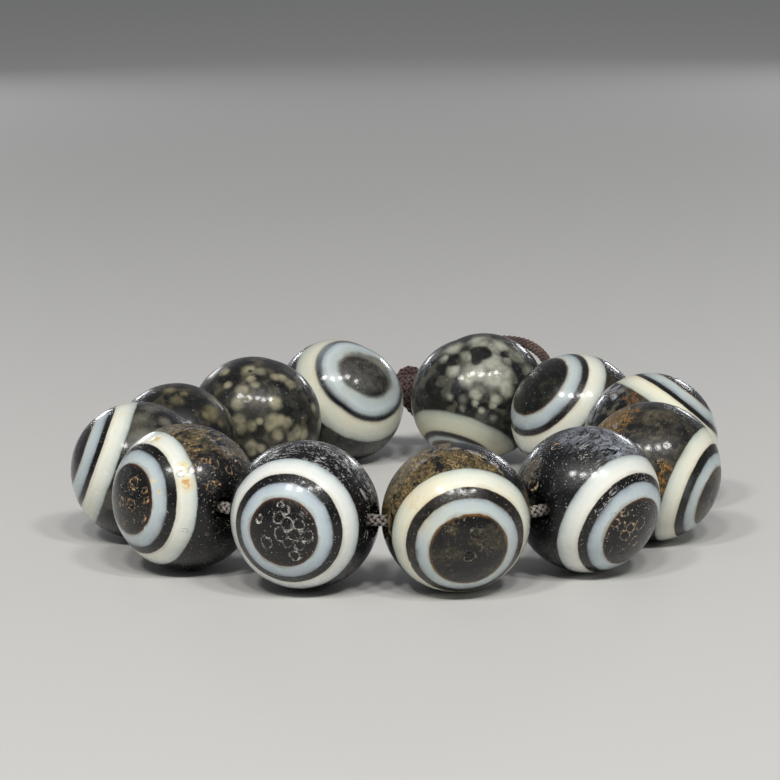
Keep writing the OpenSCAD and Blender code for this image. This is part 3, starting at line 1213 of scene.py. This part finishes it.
@dataclass
class Stringing:
    """The cord through all the beads, and the knot that closes it.

    Attributes:
        beads: The twelve beads in ring order.
        knot_after: Place in that order of the bead that comes just before the knot.
        bend: Length over which the cord bends, measured back from each mouth.
        handle: Length of the bend's handles, as a share of its length.
        joint: How deep inside the mouth the cord meets the knot's own cord.
        thickness: Diameter of the cord.
        fine: Distance between the cord's points where it shows.
        coarse: Distance between them inside the beads.
        knot_out: How far the knot lies outside the line between its two beads.
        neck: How deep inside the mouths the knot's own cord begins.
        leads: How far it comes straight out of the mouths before and after the knot.
        knot_fine: Distance between its points.
        ease: How many times its lines are eased.
        tail_sweep: Angle of the free end's arc, in degrees.
        tail_slope: Slope of its plane, in degrees.
        tail_gap: Clear space between it and the bead.
        tail_radius: Radius of the cord in the CAD model, which that space is measured from.
        tail_skip: Points at its start that the knot hides.
    """

    beads: list[Bead]
    knot_after: int = 8
    bend: float = 2.2 * MM
    handle: float = 0.38
    joint: float = 0.4 * MM
    thickness: float = 1.38 * MM
    fine: float = 0.14 * MM
    coarse: float = 0.30 * MM
    knot_out: float = 6.2 * MM
    neck: float = 1.2 * MM
    leads: Pair = (0.8 * MM, 0.6 * MM)
    knot_fine: float = 0.16 * MM
    ease: int = 14
    tail_sweep: float = 141.0
    tail_slope: float = 40.0
    tail_gap: float = 0.4 * MM
    tail_radius: float = 0.7 * MM
    tail_skip: int = 8

    def __post_init__(self) -> None:
        """Aims each bead's hole halfway between its neighbours, then turns it by its swing."""
        level = np.array([bead.centre for bead in self.beads]) * LEVEL
        ahead = unit(np.roll(level, -1, axis=0) - level)
        middle = ahead + np.roll(ahead, 1, axis=0)
        for bead, bearing in zip(self.beads, np.arctan2(middle[:, 1], middle[:, 0])):
            angle = bearing + math.radians(bead.swing)
            bead.bore = np.array([math.cos(angle), math.sin(angle), 0.0])

    def crossing(self, before: Bead, after: Bead) -> np.ndarray:
        """The cord's bend from one bead's hole into the next.

        Args:
            before: The bead that it leaves.
            after: The bead that it enters.

        Returns:
            Points on a cubic curve whose handles lie along both holes' axes: the sum of its two
            ends and two handles, weighted by the powers of how far along the point is.
        """
        a, d = before.mouth_at(1, -self.bend), after.mouth_at(-1, -self.bend)
        handle = self.handle * np.linalg.norm(d - a)
        b, c = a + handle * before.bore, d - handle * after.bore
        u = np.linspace(0, 1, 24)[:, None]
        return (1 - u) ** 3 * a + 3 * (1 - u) ** 2 * u * b + 3 * (1 - u) * u ** 2 * c + u ** 3 * d

    def cord(self) -> bpy.types.Object:
        """Braids the cord from the knot through the twelve holes and back to the knot.

        Returns:
            The linked object. Its path is the bends, with straight lines between them.
        """
        start = self.knot_after + 1
        order = self.beads[start:] + self.beads[:start]
        parts = [order[0].mouth_at(-1, -self.joint)[None]]
        for here, there in zip(order[:-1], order[1:]):
            bend = evenly(self.crossing(here, there), self.fine)
            hidden = evenly(np.array([parts[-1][-1], bend[0]]), self.coarse)
            parts.extend([hidden[1:-1], bend])
        end = order[-1].mouth_at(1, -self.joint)
        parts.append(evenly(np.array([parts[-1][-1], end]), self.coarse)[1:])
        path = np.concatenate(parts)
        # Near-black fibres with pale crowns that are partly painted highlight.
        thread = Thread((14, 12, 11), (236, 222, 210), 1.0)
        piece = braided_piece("cord_braid", [Braid(path, self.thickness / 2)], thread)
        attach(piece, "root")
        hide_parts("cord")
        LOG.info("%s: %.0f mm of cord", piece.name, line_lengths(path)[-1] / MM)
        return piece

    def knot(self) -> bpy.types.Object:
        """Ties the knot: two turns round the cords, one crossing over them, and the free ends.

        Returns:
            The linked object. The turns are a helix made uneven by noise, and the other cords
            are eased lines through a few places, in millimetres from the knot's middle along the
            row, outwards and up.
        """
        before, after = self.beads[self.knot_after], self.beads[self.knot_after + 1]
        level = (after.centre - before.centre) * LEVEL
        x = unit(level)
        axes = np.array([x, np.cross(x, UP), UP])
        halfway = (before.half_length + np.linalg.norm(level) - after.half_length) / 2
        height = (before.centre[2] + after.centre[2]) / 2
        at = before.centre * LEVEL + np.array([halfway, self.knot_out, height]) @ axes

        turns = np.linspace(0, 1, 160)
        wind = TURN * 2.35 * turns + 0.4
        coil = np.stack([-0.95 + 1.75 * turns, -1.72 * np.sin(wind), 1.72 * np.cos(wind)], axis=1)
        coil += 0.14 * np.stack([soft_noise(coil * 0.9, 5 + k) for k in range(3)], axis=1)
        over = [(1.55, -0.9, -0.4), (1.75, -0.2, 1.2), (0.9, 0.3, 2.55), (-0.4, 0.4, 2.7),
                (-1.5, 0.0, 1.6), (-1.55, 0.6, 0.0), (-0.9, 0.9, -1.0)]
        under = [(0.9, -0.6, -0.3), (0.5, -0.9, -1.7), (-0.1, -0.7, -2.4), (-0.55, -0.5, -2.9)]
        core = [(0.9, 0.0, 0.2), (0.0, 0.1, 0.1), (-0.9, 0.0, 0.0)]
        coil, over, under, core = [at + (np.array(places) * MM) @ axes
                                   for places in (coil, over, under, core)]
        lead_in = [before.mouth_at(1, -self.neck), before.mouth_at(1, self.leads[0])]
        lead_out = [after.mouth_at(-1, -self.neck), after.mouth_at(-1, self.leads[1])]
        wrapped = np.concatenate([lead_in, coil, self.tail(before, at)[self.tail_skip:]])
        lines = ((wrapped, 1.03), (over, 1.03), (under, 0.85), (np.concatenate([lead_out, core]), 1.0))
        braids = []
        for line, share in lines:
            path = evenly(smooth_line(evenly(line, 0.2 * MM), self.ease), self.knot_fine)
            braids.append(Braid(path, self.thickness / 2 * share))
        # Dark red fibres with pinkish grey crowns that are partly painted highlight.
        piece = braided_piece("closing_knot_tied", braids, Thread((66, 40, 35), (140, 110, 100), 0.7))
        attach(piece, "root")
        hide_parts("closing_knot")
        LOG.info("%s: %d braids", piece.name, len(braids))
        return piece

    def tail(self, bead: Bead, knot_at: np.ndarray) -> np.ndarray:
        """The cord's free end: a circle about the bead's middle, sloping up from the knot.

        Args:
            bead: The bead that it lies round.
            knot_at: The knot's middle.

        Returns:
            Points from the knot to the cut end.
        """
        radius = bead.half_length + self.tail_gap + self.tail_radius
        x = unit((knot_at - bead.centre) * LEVEL)
        slope = math.radians(self.tail_slope)
        y = math.cos(slope) * np.cross(x, UP) + math.sin(slope) * UP
        turn = np.radians(np.linspace(0, self.tail_sweep, 90))[:, None]
        return bead.centre + radius * (np.cos(turn) * x + np.sin(turn) * y)


def stand_up(name: str, data: bpy.types.ID, place: Vec | np.ndarray, right: np.ndarray,
             back: np.ndarray) -> bpy.types.Object:
    """Puts a camera or lamp in its place.

    Args:
        name: Its name.
        data: Its camera or lamp data.
        place: Where it goes.
        right: Direction of its right side.
        back: Direction opposite to the one in which it looks.

    Returns:
        The linked object.
    """
    item = bpy.data.objects.new(name, data)
    turn = np.stack([right, np.cross(back, right), back], axis=1)
    item.matrix_world = Matrix.Translation(tuple(place)) @ Matrix(turn.tolist()).to_4x4()
    bpy.context.scene.collection.objects.link(item)
    return item


@dataclass(frozen=True)
class Lamp:
    """A soft rectangular lamp that faces the bracelet.

    Attributes:
        distance: How far away it hangs.
        size: Width and height.
        power: Watts.
        tint: Its colour.
    """

    distance: float
    size: Pair
    power: float
    tint: Vec

    def hang(self, name: str, way: Vec) -> None:
        """Hangs the lamp.

        Args:
            name: Its name.
            way: Direction of the lamp from the bracelet.
        """
        data = bpy.data.lights.new(name, "AREA")
        data.shape = "RECTANGLE"
        data.size, data.size_y = self.size
        data.energy = self.power
        data.color = self.tint
        back = unit(np.array(way))
        stand_up(name, data, back * self.distance, unit(np.cross(UP, back)), back)


@dataclass
class Studio:
    """Camera, soft lights and the plain pale floor.

    Attributes:
        stand: Where the camera stands.
        pitch: How far it looks down, in degrees.
        roll: Its turn about its line of sight, in degrees.
        focal: Focal length in picture widths.
        key: Each of the main lamps, above and in front.
        key_turns: Their bearings from the front, in degrees.
        key_height: Their angle above the table, in degrees.
        rim: Each of the two lamps behind the bracelet.
        rim_way: Direction of the right one.
        room: Strength of the room's soft light.
        room_tint: Its colour.
        ground: Colour of the floor.
        reach: Half the floor's width.
    """

    stand: Vec = (-1.088 * MM, -317.335 * MM, 74.672 * MM)
    pitch: float = 10.558
    roll: float = -0.855
    focal: float = 2733 / 780
    key: Lamp = Lamp(0.75, (0.082, 0.078), 1.28, (1.0, 0.985, 0.96))
    key_turns: tuple[float, ...] = (-34.0, -10.0, 14.0, 36.0)
    key_height: float = 51.0
    rim: Lamp = Lamp(0.80, (0.11, 0.04), 0.28, (0.95, 0.97, 1.0))
    rim_way: Vec = (0.36, 0.90, 0.22)
    room: float = 0.22
    room_tint: Vec = (0.93, 0.95, 1.0)
    ground: Vec = (206, 205, 202)
    reach: float = 6.0

    def camera(self) -> None:
        """Sets up the camera at the photograph's angle."""
        pitch, roll = math.radians(self.pitch), math.radians(self.roll)
        back = np.array([0.0, -math.cos(pitch), math.sin(pitch)])
        over = np.array([0.0, math.sin(pitch), math.cos(pitch)])
        right = math.cos(roll) * np.array([1.0, 0.0, 0.0]) + math.sin(roll) * over
        data = bpy.data.cameras.new("camera")
        data.sensor_width = 36.0
        data.lens = data.sensor_width * self.focal
        data.clip_start = 0.01
        bpy.context.scene.camera = stand_up("camera", data, self.stand, right, back)

    def lights(self) -> None:
        """Hangs the lamps and sets the room's soft light."""
        rise, level = math.sin(math.radians(self.key_height)), math.cos(math.radians(self.key_height))
        for number, turn in enumerate(np.radians(self.key_turns), 1):
            self.key.hang(f"key_{number}", (math.sin(turn) * level, -math.cos(turn) * level, rise))
        aside, behind, above = self.rim_way
        self.rim.hang("rim_left", (-aside, behind, above))
        self.rim.hang("rim_right", (aside, behind, above))
        world = bpy.data.worlds.new("room")
        world.use_nodes = True
        sky = world.node_tree.nodes["Background"]
        sky.inputs["Color"].default_value = (*self.room_tint, 1.0)
        sky.inputs["Strength"].default_value = self.room
        bpy.context.scene.world = world

    def floor(self) -> None:
        """Lays the plain pale floor, a wide flat sheet at the table's height."""
        corners = np.array([[-1, -1, 0], [1, -1, 0], [1, 1, 0], [-1, 1, 0]]) * self.reach
        floor = new_mesh("floor", corners, np.array([[0, 1, 2, 3]]))
        g = Graph("pale_floor")
        g.feed(g.shader, {"Base Color": linear(self.ground), "Roughness": 0.6})
        floor.data.materials.append(g.material)

    def build(self) -> None:
        """Sets up everything that isn't part of the bracelet."""
        self.camera()
        self.lights()
        self.floor()
        bpy.context.scene.view_settings.view_transform = "Standard"


def worn(wear: Wear, *places: tuple[float, ...], amount: float = 1.0) -> tuple[Patch, ...]:
    """Patches of one kind: direction, reach and, if it has its own, strength of each."""
    return tuple(Patch(wear, place[:3], *(*place, amount)[3:5]) for place in places)


def burst(*places: tuple[float, ...]) -> tuple[Mark, ...]:
    """Bubble marks, each from its direction and the angle across it."""
    return tuple(Mark(place[:3], place[3]) for place in places)


def bracelet() -> list[Bead]:
    """The twelve beads, in ring order from the left one.

    Returns:
        Beads with their eyes, stones and worn places.
    """
    # The dust wear, partly painted glints and rim highlights, is laid mostly on the beads' lit tops and
    # sheens.
    earth, pale, stain, dust_and_glints = Wear
    return [
        Bead("bead_01", (-0.935, -0.033, 0.354), Agate(
            Bands(0.35, 0.625, 0.695, 0.85, 0.008), 1.3, haze=(38, 36, 31), haze_amount=0.5,
            lump=(112, 110, 98), warmth=0.4, dust_and_glints=0.1,
            blobs=(Blobs((84, 82, 70), 5, 0.4, 0.6), Blobs((10, 10, 9), 3, 0.45, 0.5))),
            (*worn(pale, (0.22, -0.2, 0.95, 11), (0.1, -0.52, 0.85, 17), (0.43, -0.42, 0.8, 9),
                (0.1, -0.72, 0.69, 20), (0.2, -0.9, 0.3, 24), amount=0.8),
             *worn(stain, (0.1, -0.9, 0.4, 18, 0.6))),
            swing=1, rings=120),
        Bead("bead_02", (-0.773, -0.623, 0.121), Agate(
            Bands(0.435, 0.665, 0.755, 0.875), 2.7, earth=(126, 112, 78), ochre=(204, 162, 108), dash=2,
            warmth=0.3, pupil_veil=(56, 38, 24), veil_amount=0.12, veil_grain=30, mark_and_glint_tone=(232, 186, 130),
            dust_and_glints=0.9, dust_and_glint_tone=(190, 176, 150),
            marks=burst((-0.64, -0.69, 0.35, 4.8), (-0.68, -0.73, 0.07, 4.6), (-0.82, -0.57, 0.07, 3),
                (0.45, -0.66, 0.6, 4), (0.75, -0.43, 0.5, 4.5), (0.42, -0.85, 0.32, 4),
                (0.14, -0.65, 0.75, 4.2), (-0.34, -0.34, 0.87, 3.8), (0.02, -0.86, 0.51, 2.7),
                (0.06, -0.97, -0.23, 1.9), (0.64, -0.59, 0.5, 2.9), (0.49, -0.8, 0.34, 2.3),
                (0.16, -0.82, 0.56, 3.1), (0.31, -0.7, 0.65, 2.4), (-0.48, -0.83, 0.28, 2.4),
                (-0.46, -0.87, 0.15, 2), (-0.5, -0.85, -0.1, 1.8), (-0.8, -0.56, -0.2, 2.2))),
            (*worn(earth, (0.19, -0.26, 0.95, 38, 0.6), (0.75, -0.1, 0.65, 18, 0.9),
                (-0.26, -0.1, 0.94, 30, 0.6), (0.15, -0.64, 0.75, 14, 0.8), (0.55, -0.42, 0.72, 14, 0.5),
                (-0.75, -0.5, 0.43, 9, 0.5)),
             *worn(dust_and_glints, (0.45, -0.72, 0.5, 30, 0.4), (0.5, -0.8, -0.1, 24, 0.4),
                (-0.75, -0.65, 0.1, 28, 0.4)),
             *worn(stain, (0.09, -0.92, 0.39, 9), (0.05, -0.8, 0.6, 7, 0.9), (-0.35, -0.84, 0.41, 3),
                (-0.28, -0.92, 0.28, 3, 0.9), (-0.34, -0.34, 0.87, 7, 0.8))),
            rings=140,
            dimples=((-0.64, -0.69, 0.35, 4.5, 0.24), (-0.68, -0.73, 0.07, 4.5, 0.2),
                (0.45, -0.66, 0.6, 3.6, 0.05), (0.75, -0.43, 0.5, 4, 0.06))),
        Bead("bead_03", (-0.281, -0.959, -0.031), Agate(
            Bands(0.46, 0.68, 0.77, 0.885), 3.1, body=(5, 5, 6), earth=(140, 138, 130),
            ochre=(196, 194, 186), warmth=0.1, mark_and_glint_tone=(232, 228, 216), dust_and_glints=0.9,
            marks=burst((-0.23, -0.93, 0.29, 3.3), (-0.31, -0.93, 0.19, 4.2), (-0.21, -0.97, 0.12, 4.4),
                (-0.05, -0.99, 0.1, 4.1), (-0.29, -0.96, -0.03, 5), (-0.12, -0.99, -0.03, 5.1),
                (0.05, -1, -0.05, 4.6), (-0.57, -0.81, 0.14, 2.9), (-0.48, -0.86, -0.16, 4.7),
                (-0.29, -0.89, 0.35, 2), (-0.2, -0.97, -0.15, 3.6), (-0.04, -0.98, -0.18, 3.9),
                (-0.1, -0.94, -0.32, 3.6))),
            worn(dust_and_glints, (0.35, -0.22, 0.91, 46), (0.85, -0.3, 0.4, 30, 0.9), (-0.4, -0.2, 0.9, 34, 0.8),
                (0.05, -0.93, 0.36, 34, 0.5), (0.84, -0.53, -0.15, 9)),
            rings=140,
            dimples=((-0.06, -0.94, -0.33, 3.4, 0.18), (-0.57, -0.81, 0.14, 2.8, 0.08))),
        Bead("bead_04", (0.161, -0.948, -0.275), Agate(
            Bands(0.36, 0.615, 0.725, 0.85), 4.4, between=(34, 30, 22), earth=(138, 118, 72),
            ochre=(188, 156, 100), dash=1.3, warmth=0.5, pupil_veil=(86, 76, 52), veil_amount=0.36,
            rim=(120, 82, 34), mark_and_glint_tone=(150, 142, 118), dust_and_glint_tone=(160, 142, 108),
            marks=burst((0.23, -0.97, -0.01, 4.1), (0.15, -0.94, -0.31, 4), (-0.09, -0.96, -0.26, 3.4),
                (0.44, -0.86, -0.27, 3.7), (-0.13, -0.99, 0.08, 2.3), (0.29, -0.94, -0.19, 2.1))),
            (*worn(earth, (-0.61, -0.22, 0.77, 50), (-0.87, -0.3, 0.3, 50, 0.6), (0, -0.5, 0.86, 30),
                (0.35, -0.5, 0.79, 22, 0.95), (0.93, -0.25, 0.25, 26, 0.6), (0.19, -0.06, 0.98, 12, -0.7),
                (-0.34, -0.16, 0.93, 6, -0.9), (0.66, -0.18, 0.73, 13, -1), (0.82, -0.28, 0.5, 12, -1),
                (-0.22, -0.93, -0.26, 17, 0.9), (0.42, -0.9, -0.08, 14, 0.9), (0.5, -0.4, 0.77, 6)),
             *worn(dust_and_glints, (0, -0.8, 0.45, 30, 0.6)),
             *worn(stain, (-0.52, -0.75, 0.4, 36, 0.6))),
            rings=140,
            dimples=((0.15, -0.94, -0.31, 4.6, 0.28), (0.23, -0.97, 0, 4.2, 0.08))),
        Bead("bead_05", (0.633, -0.689, -0.354), Agate(
            Bands(0.4, 0.64, 0.73, 0.86), 5.2, earth=(120, 112, 84), ochre=(190, 160, 110),
            mark_and_glint_tone=(240, 206, 164), dust_and_glints=1,
            blobs=(Blobs((176, 182, 194), 6, 0.8, 0.2, where=pale, squash=2, cracked=True),
                Blobs((140, 144, 152), 13, 0.6, where=pale, squash=2, cracked=True)),
            marks=burst((0.44, -0.9, 0.02, 3.2), (0.3, -0.95, -0.11, 3.4), (0.39, -0.9, -0.18, 3.4),
                (0.53, -0.83, -0.2, 3.8), (0.3, -0.95, 0, 2.4), (0.66, -0.73, -0.17, 4.8),
                (0.45, -0.84, -0.31, 3.9), (0.58, -0.7, -0.43, 4.4), (-0.76, -0.55, 0.35, 4.5),
                (0.19, -0.93, -0.31, 1.7), (-0.44, -0.36, 0.82, 3))),
            (*worn(pale, (0.21, -0.45, 0.87, 20), (0.41, -0.48, 0.78, 16), (-0.16, -0.3, 0.94, 20, 0.8),
                (0.6, -0.25, 0.76, 20, 0.8), (0.1, 0.1, 0.98, 24, 0.8)),
             *worn(dust_and_glints, (0, -0.62, 0.78, 44, 0.6), (-0.77, -0.37, 0.52, 26, 0.5),
                (0.2, -0.95, 0.2, 30, 0.6), (0.7, -0.6, 0.35, 26, 0.7)),
             *worn(earth, (-0.77, -0.37, 0.52, 15, 0.75), (-0.46, -0.32, 0.83, 5),
                (-0.71, -0.7, -0.08, 4))),
            rings=140),
        Bead("bead_06", (0.865, -0.393, -0.311), Agate(
            Bands(0.485, 0.7, 0.79, 0.895, 0.007), 6.6, haze=(56, 52, 42), haze_amount=0.45,
            earth=(160, 122, 58), ochre=(214, 158, 80), warmth=0.5, pupil_veil=(78, 72, 48),
            veil_amount=0.6, dust_and_glints=0.3, dust_and_glint_tone=(150, 130, 90), rough=0.38,
            blobs=(Blobs((8, 8, 7), 5, 0.4, 1), Blobs((108, 99, 80), 7, 0.38, 0.8, where=pale, ragged=1))),
            (*worn(earth, (-0.52, -0.18, 0.83, 26), (-0.8, -0.1, 0.6, 20, 0.9),
                (0.05, -0.99, 0.11, 20, 0.5)),
             *worn(pale, (-0.05, -0.65, 0.76, 46), (0.05, -0.98, 0.2, 30, 0.8)),
             *worn(dust_and_glints, (0.42, -0.41, 0.81, 40, 0.4))),
            swing=-3, rings=120),
        Bead("bead_07", (0.624, 0.203, 0.755), Agate(
            Bands(0.35, 0.61, 0.68, 0.84, 0.01), 7.7, earth=(122, 88, 54), ochre=(160, 116, 70), warmth=0.7,
            dust_and_glints=0.1,
            blobs=(Blobs((104, 98, 84), 6, 0.3, 0.5),
                Blobs((184, 190, 196), 5.5, 0.9, 0.9, where=pale, cracked=True))),
            (*worn(pale, (-0.93, -0.08, 0.35, 16), (-0.76, -0.09, 0.65, 16), (-0.62, 0.1, 0.78, 16),
                (-0.5, -0.1, 0.86, 14), (-0.53, -0.38, 0.75, 9), (-0.88, -0.25, 0.4, 12)),
             *worn(earth, (-0.29, -0.54, 0.79, 15, 0.9), (-0.2, -0.5, 0.84, 12, 0.8))),
            swing=4, rings=104),
        Bead("bead_08", (-0.657, -0.357, 0.664), Agate(
            Bands(0.38, 0.625, 0.7, 0.85, 0.014), 8.1, between=(38, 36, 36), haze=(64, 56, 38),
            haze_amount=0.8, warmth=0.45, milk=0.02, pupil_veil=(50, 52, 36), veil_amount=0.5, veil_grain=9,
            dust_and_glints=0),
            stretch=0.02, rings=104),
        Bead("bead_09", (-0.32, -0.49, -0.811), Agate(
            Bands(0.64, 0.885, 0.93, 0.975, 0.014), 9.5, haze=(50, 50, 42), haze_amount=0.5,
            lump=(176, 176, 160), warmth=0.8, milk=0.12, dust_and_glints=0, rough=0.36,
            blobs=(Blobs((90, 90, 78), 5, 0.3, 0.6),)),
            (*worn(pale, (-0.08, -0.81, 0.57, 17), (0.19, -0.7, 0.69, 15), (-0.21, -0.59, 0.78, 9),
                (0.22, -0.87, 0.44, 15), (-0.4, -0.29, 0.87, 14), (-0.18, -0.85, 0.49, 12),
                (0.37, -0.87, 0.33, 11), (0, -0.32, 0.95, 15), (0.29, -0.42, 0.86, 14),
                (0.34, -0.77, 0.54, 13), (-0.55, -0.44, 0.71, 7), (-0.41, -0.71, 0.58, 9),
                (-0.07, -0.97, 0.23, 8), (-0.09, -0.99, 0.1, 5), (0.22, -0.96, 0.16, 8),
                (0.19, -0.98, 0.06, 5), (0.01, -1, -0.01, 5)),
             *worn(pale, (0.53, -0.45, 0.72, 16), (0.72, -0.5, 0.48, 11), (0.41, -0.62, 0.66, 10),
                (-0.46, -0.86, 0.19, 6), (-0.28, -0.95, 0.15, 7), (-0.28, -0.96, 0.03, 5),
                (0.2, -0.97, -0.15, 6), (-0.01, -0.95, 0.32, 9), amount=0.55),
             *worn(pale, (-0.39, -0.58, 0.72, 8), (0, -0.58, 0.82, 10), (-0.06, -0.71, 0.7, 5),
                (0.11, -0.62, 0.78, 6), (0.09, -0.98, 0.18, 4), (0.55, -0.6, 0.58, 6),
                (0.38, -0.53, 0.76, 5), amount=-1),
             *worn(pale, (0.6, 0.6, 0.5, 50, 0.6))),
            swing=-12, stretch=0.1, lean=21, rings=104),
        Bead("bead_10", (0.47, -0.633, 0.616), Agate(
            Bands(0.34, 0.675, 0.74, 0.935, 0.022), 10.9, between=(22, 25, 34), warmth=0.6, milk=0.07,
            fade=0.3, glow=1.14, pupil=(26, 25, 23), pupil_veil=(78, 77, 71), veil_amount=1, veil_grain=4,
            oval=Oval(0.47, 0.34, -42, -0.07, -0.06), dust_and_glints=0,
            blobs=(Blobs((60, 60, 52), 4, 0.5, 0.5),)),
            worn(pale, (0.75, 0.1, 0.65, 66), (-0.25, -0.35, 0.9, 30, 0.7)),
            swing=16, stretch=0.08, lean=-27, rings=104),
        Bead("bead_11", (0.1, 0.92, -0.38), Agate(
            Bands(0.36, 0.63, 0.7, 0.85, 0.012), 11.4, haze=(52, 51, 44), haze_amount=0.8,
            lump=(160, 154, 126), warmth=0.6, dust_and_glints=0, rough=0.36,
            blobs=(Blobs((92, 88, 70), 5, 0.3, 0.6, hollow=0.4), Blobs((10, 10, 9), 3.5, 0.3, 0.7))),
            worn(pale, (-0.07, -0.44, 0.9, 11), (0.11, -0.48, 0.87, 8), (-0.02, -0.63, 0.78, 6),
                (0.04, -0.71, 0.7, 6), (-0.44, -0.34, 0.83, 7), (-0.39, -0.63, 0.68, 6),
                (-0.16, -0.77, 0.62, 8), (-0.23, -0.86, 0.45, 9), (-0.07, -0.86, 0.51, 5),
                (0.34, -0.51, 0.79, 7), (0.45, -0.47, 0.76, 8), (0.56, -0.49, 0.66, 8),
                (0.3, -0.94, 0.16, 10), (0.26, -0.96, 0.1, 8), (0.43, -0.89, 0.17, 7),
                (0.11, -0.98, 0.17, 5), (-0.2, -0.96, 0.2, 8), (-0.18, -0.98, 0.07, 8),
                (-0.02, -0.99, 0.1, 7), (0.37, -0.93, -0.05, 8), (0.67, -0.74, -0.05, 9),
                (0.76, -0.64, -0.11, 7), (0.59, -0.8, -0.1, 7), (-0.03, -0.98, -0.22, 8),
                (-0.02, -0.95, -0.32, 6), (0.12, -0.96, -0.26, 6), (0.52, -0.84, 0.12, 7),
                (0.9, -0.35, 0.25, 6), (0.34, -0.83, 0.44, 9), (-0.05, -0.48, 0.88, 4, -0.8),
                (0.66, -0.75, -0.03, 3, -0.6), (0.11, -0.9, 0.42, 24, 0.25)),
            swing=5, stretch=0.04, lean=-17, rings=104),
        Bead("bead_12", (-0.5, 0.8, -0.3), Agate(
            Bands(0.38, 0.64, 0.71, 0.86, 0.01), 12.8, haze=(34, 32, 26), haze_amount=0.7,
            lump=(122, 114, 84), warmth=0.6, dust_and_glints=0, rough=0.36,
            blobs=(Blobs((76, 70, 50), 5, 0.35, 0.6, hollow=0.4), Blobs((8, 8, 8), 3, 0.4, 0.6))),
            worn(pale, (-0.06, -0.29, 0.96, 9), (0.18, -0.37, 0.91, 6), (0.08, -0.54, 0.84, 10),
                (0.66, -0.13, 0.74, 14), (0.64, -0.46, 0.62, 13), (0.89, -0.08, 0.46, 12),
                (0.53, -0.6, 0.61, 6), (0.75, -0.49, 0.45, 6), amount=0.8),
            swing=-9, rings=104),
    ]


def main() -> None:
    """Builds the studio, the beads, the cord and the knot, and notes the sizes."""
    logging.basicConfig(level=logging.INFO, format="%(message)s")
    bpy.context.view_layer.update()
    Studio().build()
    beads = bracelet()
    stringing = Stringing(beads)
    for bead in beads:
        bead.build()
    stringing.cord()
    stringing.knot()


if __name__ == "__main__":
    main()
